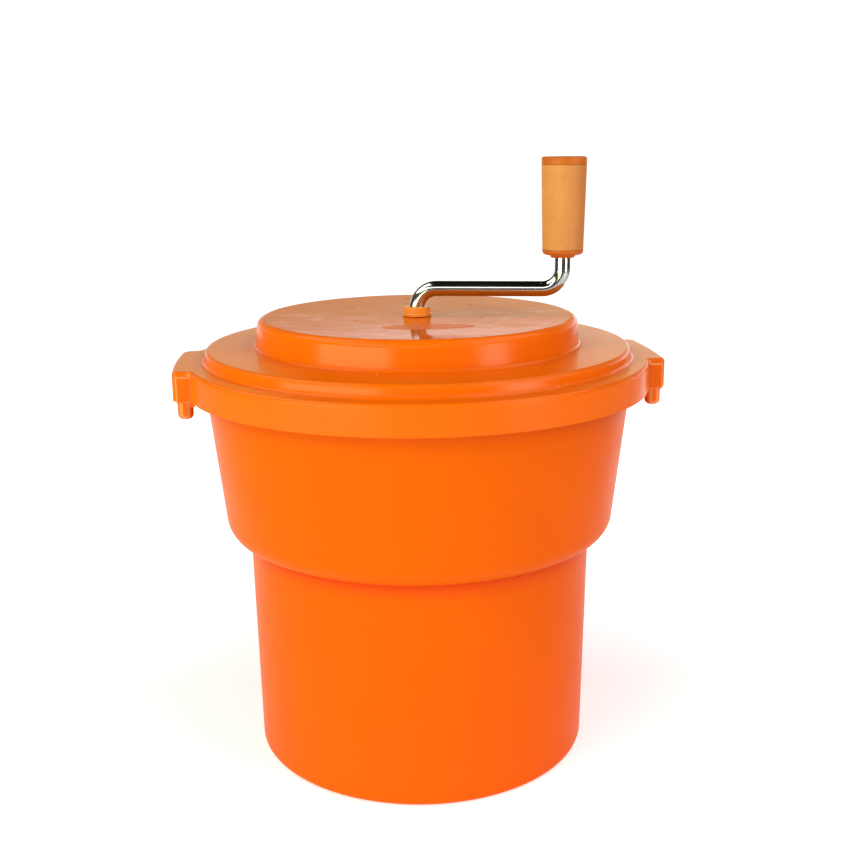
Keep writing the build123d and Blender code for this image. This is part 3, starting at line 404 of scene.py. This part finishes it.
# ---------------------------------------------------------------- camera
VIEW_TURN = math.radians(-5.7)
CAMERA_PLACE = Vector((0.0058, -1.005, 0.535))
CAMERA_DOWN = 0.240
CAMERA_ROLL = -0.0100
SENSOR_WIDTH = 36.0
FOCAL_PIXELS = 1161
IMAGE_PIXELS = 850

camera_data = bpy.data.cameras.new("camera")
camera_data.sensor_width = SENSOR_WIDTH
camera_data.lens = SENSOR_WIDTH * FOCAL_PIXELS / IMAGE_PIXELS
camera = bpy.data.objects.new("camera", camera_data)
bpy.context.scene.collection.objects.link(camera)
turn = Matrix.Rotation(VIEW_TURN, 4, "Z")
aim = Matrix.Rotation(math.pi / 2 - CAMERA_DOWN, 4, "X") @ Matrix.Rotation(CAMERA_ROLL, 4, "Z")
camera.matrix_world = turn @ Matrix.Translation(CAMERA_PLACE) @ aim
bpy.context.scene.camera = camera

foot = turn @ CAMERA_PLACE
back_way = turn @ Vector((0.0, 1.0, 0.0))
right_way = turn @ Vector((1.0, 0.0, 0.0))

# ---------------------------------------------------------------- floor
FLOOR_RADIUS = 40.0
FLOOR_SIDES = 64
# painted light: the floor glows in a wedge under and behind the object, which widens to the back
# from the camera's foot; the glow is weaker near the object, a painted soft shade round it; plain
# pale floor round the wedge
GLOW_WEDGE_SIDE = (0.44, 0.70)
GLOW_WEDGE_FRONT = (0.60, 0.82)
GLOW_RANGE = (0.20, 1.1)
GLOW = (0.42, 1.02)
NEAREST_AHEAD = 0.05

floor_rim = []
for side in range(FLOOR_SIDES):
    angle = 2 * math.pi * side / FLOOR_SIDES
    floor_rim.append((FLOOR_RADIUS * math.cos(angle), FLOOR_RADIUS * math.sin(angle), 0.0))
floor_mesh = bpy.data.meshes.new("floor")
floor_mesh.from_pydata(floor_rim, [], [tuple(range(FLOOR_SIDES))])
floor = bpy.data.objects.new("floor", floor_mesh)
bpy.context.scene.collection.objects.link(floor)

floor_look = Finish("floor_white")
floor_x, floor_y, _ = floor_look.split(floor_look.place)


def floor_distance(way):
    """How far a point of the floor lies from the camera's foot, along one horizontal way."""
    part_x = floor_look.times(floor_look.maths("SUBTRACT", floor_x, foot.x), way.x)
    part_y = floor_look.times(floor_look.maths("SUBTRACT", floor_y, foot.y), way.y)
    return floor_look.plus(part_x, part_y)


ahead = floor_distance(back_way)
aside = floor_look.size(floor_distance(right_way))
spread = floor_look.maths("DIVIDE", aside, floor_look.maths("MAXIMUM", ahead, NEAREST_AHEAD))
wedge = floor_look.times(floor_look.span(spread, GLOW_WEDGE_SIDE, FALLING),
                         floor_look.span(ahead, GLOW_WEDGE_FRONT))
reach = floor_look.maths("SQRT", floor_look.squares(floor_x, floor_y))
glow = floor_look.times(floor_look.span(reach, GLOW_RANGE, GLOW), wedge)
floor_look.feed(glow, floor_look.shader.inputs["Emission Strength"])
floor_mesh.materials.append(
    floor_look.surface(floor_look.mix(floor_look.noise(2.0), *FLOOR_WHITES), 0.7,
                       Emission_Color=(1.0, 1.0, 1.0, 1.0), Specular_IOR_Level=0.0)
)

# ---------------------------------------------------------------- lights
TUB_MIDDLE = (0, 0, 0.25)
TUB_RIM = (0, 0, 0.32)


def softbox(name, azimuth, elevation, width, height, power, colour=(1, 1, 1), target=TUB_MIDDLE,
            distance=2.1):
    """An area light that faces the object. Azimuth counts from the camera's side, to its right."""
    angle = math.radians(azimuth) + VIEW_TURN
    rise = math.radians(elevation)
    aim_point = Vector(target)
    place = aim_point + distance * Vector(
        (math.sin(angle) * math.cos(rise), -math.cos(angle) * math.cos(rise), math.sin(rise))
    )
    data = bpy.data.lights.new(name, "AREA")
    data.shape = "RECTANGLE"
    data.size = width
    data.size_y = height
    data.energy = power
    data.color = colour
    light = bpy.data.objects.new(name, data)
    bpy.context.scene.collection.objects.link(light)
    light.location = place
    light.rotation_euler = (aim_point - place).to_track_quat("-Z", "Y").to_euler()
    light.visible_camera = False


softbox("key_low_left", azimuth=-43, elevation=0.5, width=1.9, height=0.42, power=31,
        colour=(0.96, 0.93, 0.50), target=TUB_RIM, distance=2.0)
softbox("key_left", azimuth=-40, elevation=34, width=0.9, height=0.3, power=9,
        colour=(1.0, 0.97, 0.90))
softbox("fill_right", azimuth=52, elevation=0.5, width=0.70, height=0.42, power=12,
        colour=(0.98, 0.90, 0.66), target=TUB_RIM, distance=2.0)
softbox("side_right", azimuth=50, elevation=34, width=0.9, height=0.9, power=10,
        colour=(1.0, 0.86, 0.95))
softbox("front_middle", azimuth=0, elevation=27, width=1.4, height=0.5, power=6)
softbox("high_left", azimuth=-88, elevation=52, width=1.5, height=1.5, power=19,
        colour=(1.0, 0.98, 0.84))
softbox("high_right", azimuth=88, elevation=52, width=1.5, height=1.5, power=17,
        colour=(1.0, 0.98, 0.84))

# ---------------------------------------------------------------- studio round the object
# a white backdrop behind the object, dimmer beside, in front and above
# each level is given with the height (the sine of the elevation) that it holds at
BACKDROP_LEVELS = ((0.0, 1.35), (0.113, 1.35), (0.140, 0.50), (0.22, 0.62), (0.42, 0.26),
                   (0.52, 0.012), (1.0, 0.008))
ROOM_LEVELS = ((0.0, 0.08), (0.30, 0.08), (0.45, 0.015), (1.0, 0.008))
WARM_ABOVE = 0.13
WARM_GREEN = 0.98
WARM_BLUE = 0.62
BACKDROP_EDGE = (0.45, 0.85)
BACKDROP_MIDDLE = (-0.25, 0.25)
LEFT_AND_RIGHT_LEVELS = (0.75, 1.5)

world = bpy.data.worlds.new("studio")
bpy.context.scene.world = world
world.use_nodes = True
sky = Tree(world.node_tree)
direction = sky.add("ShaderNodeTexCoord").outputs["Generated"]
_, _, direction_height = sky.split(direction)


def along(way):
    """How far the looked-at direction lies along a way, from -1 to 1."""
    product = sky.add("ShaderNodeVectorMath", operation="DOT_PRODUCT")
    sky.feed(direction, product.inputs[0])
    product.inputs[1].default_value = way
    return product.outputs["Value"]


def height_ramp(levels):
    """Levels that change with the height of the looked-at direction, warmer higher up."""
    ramp = sky.add("ShaderNodeValToRGB")
    elements = ramp.color_ramp.elements
    while len(elements) < len(levels):
        elements.new(0.5)
    for element, (height, level) in zip(elements, levels):
        green, blue = (WARM_GREEN, WARM_BLUE) if height > WARM_ABOVE else (1.0, 1.0)
        element.position = height
        element.color = (level, level * green, level * blue, 1.0)
    sky.feed(direction_height, ramp.inputs["Fac"])
    return ramp.outputs["Color"]


backdrop = sky.add("ShaderNodeVectorMath", operation="SCALE")
sky.feed(height_ramp(BACKDROP_LEVELS), backdrop.inputs[0])
rightness = sky.span(along(right_way), BACKDROP_MIDDLE, LEFT_AND_RIGHT_LEVELS)
sky.feed(rightness, backdrop.inputs["Scale"])
behind = sky.span(along(back_way), BACKDROP_EDGE)
room = sky.mix(behind, height_ramp(ROOM_LEVELS), backdrop.outputs[0])
sky.feed(room, sky.tree.nodes["Background"].inputs["Color"])

bpy.context.scene.view_settings.view_transform = "Standard"
